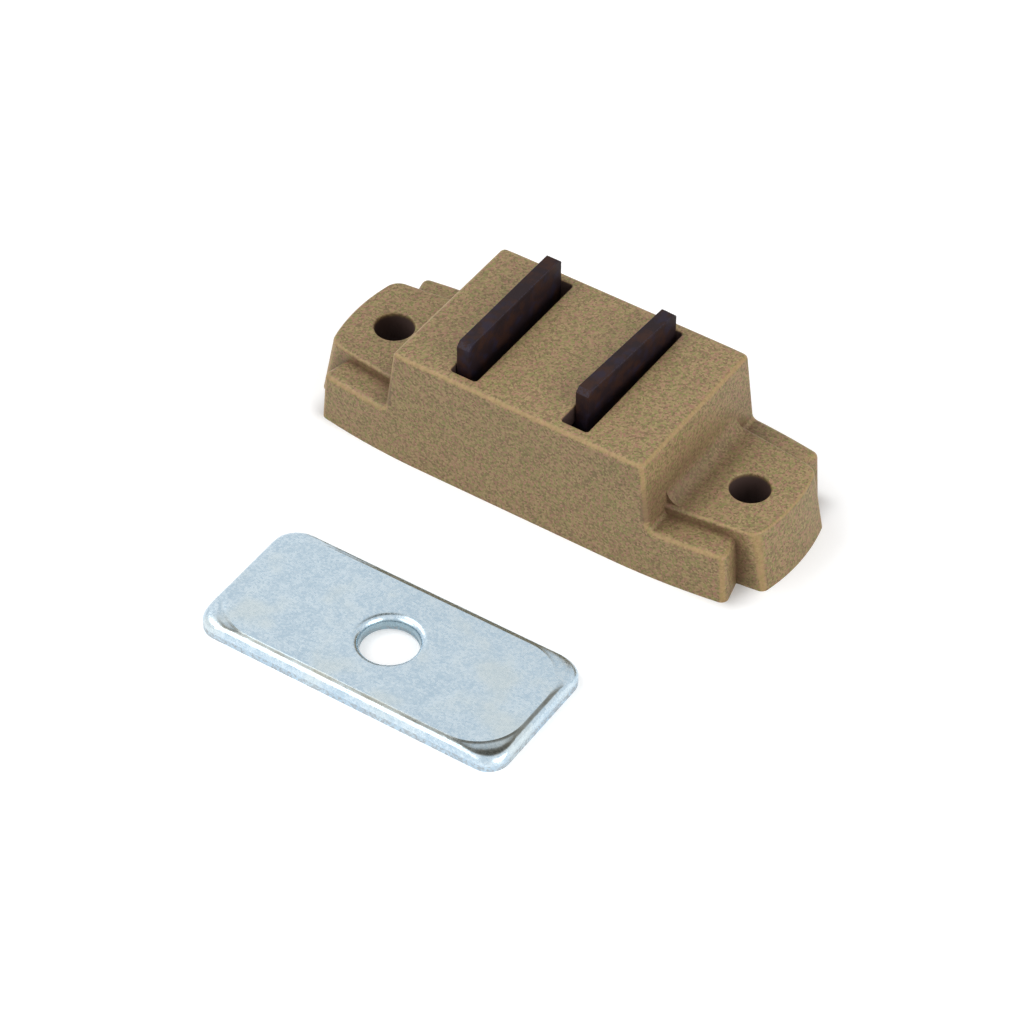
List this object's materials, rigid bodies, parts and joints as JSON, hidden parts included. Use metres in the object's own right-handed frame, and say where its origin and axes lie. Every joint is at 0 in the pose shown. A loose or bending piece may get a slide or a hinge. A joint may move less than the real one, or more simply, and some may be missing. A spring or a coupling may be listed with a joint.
{
  "type": "screen door magnet",
  "caption": "Magnetic catch with screw ears and a floating magnet pack behind slots, and its loose steel strike plate for the door.",
  "frame": {"origin": "on the mounting face, midway between the two screw holes", "axes": "+X along the housing through both screw holes, +Y across it away from the strike plate, +Z away from the surface it is screwed to"},
  "size_m": [0.0572, 0.0537, 0.0176],
  "materials": {
    "housing_plastic": "satin moulded plastic",
    "magnet_ferrite": "pressed and ground, dull",
    "pole_steel": "black oxide",
    "strike_steel": "zinc plated, satin"
  },
  "bodies": {
    "catch": {"housing": "housing_plastic", "strike_plate": "strike_steel"},
    "magnet_pack": {"magnet_block": "magnet_ferrite", "pole_plate_left": "pole_steel", "pole_plate_right": "pole_steel"}
  },
  "joints": [
    {"name": "magnet_float", "type": "slide", "parent": "catch", "child": "magnet_pack", "axis": [0, 0, 1], "range_m": [0, 0.0008]}
  ]
}
